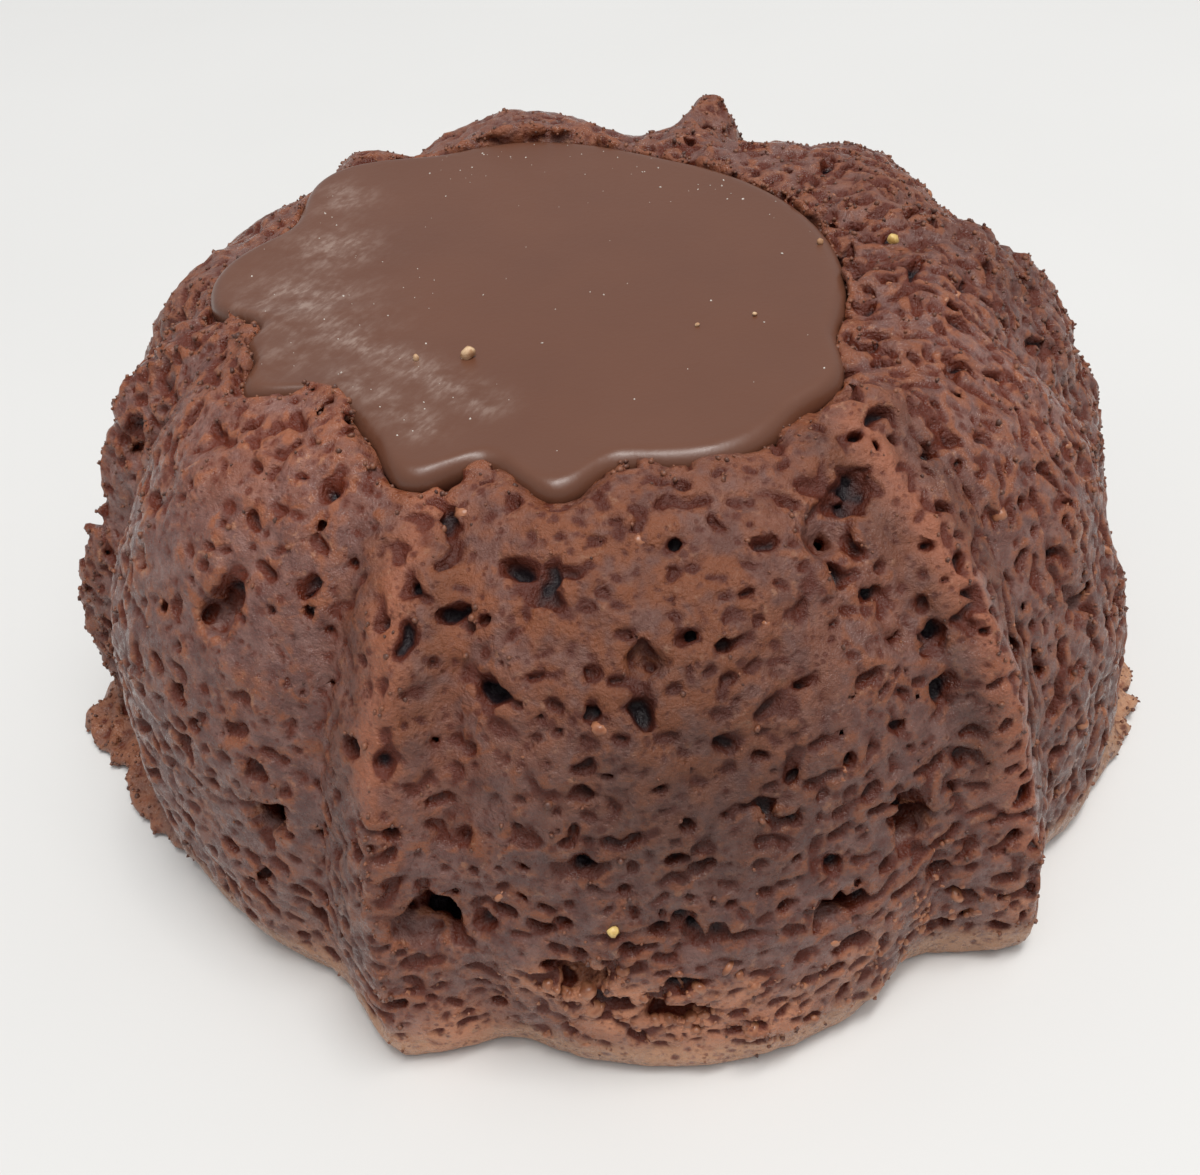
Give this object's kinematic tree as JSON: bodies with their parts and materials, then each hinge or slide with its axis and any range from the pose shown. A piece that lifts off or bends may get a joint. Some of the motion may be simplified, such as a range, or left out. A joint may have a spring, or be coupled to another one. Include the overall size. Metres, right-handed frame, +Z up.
{
  "type": "chocolate lava cake",
  "caption": "Small fluted chocolate lava cake of open, moist crumb, with round lobes, sharp ridges and a pool of set ganache in its top.",
  "frame": {"origin": "middle of the flat base that the cake rests on, on the axis that its flutes are set round", "axes": "+Z up, -Y towards the front lobe, +X to the right seen from the front"},
  "size_m": [0.0933, 0.088, 0.0394],
  "materials": {
    "crumb": "moist, open chocolate crumb",
    "ganache": "satin set chocolate"
  },
  "bodies": {
    "root": {"cake": "crumb", "ganache": "ganache"}
  },
  "joints": []
}
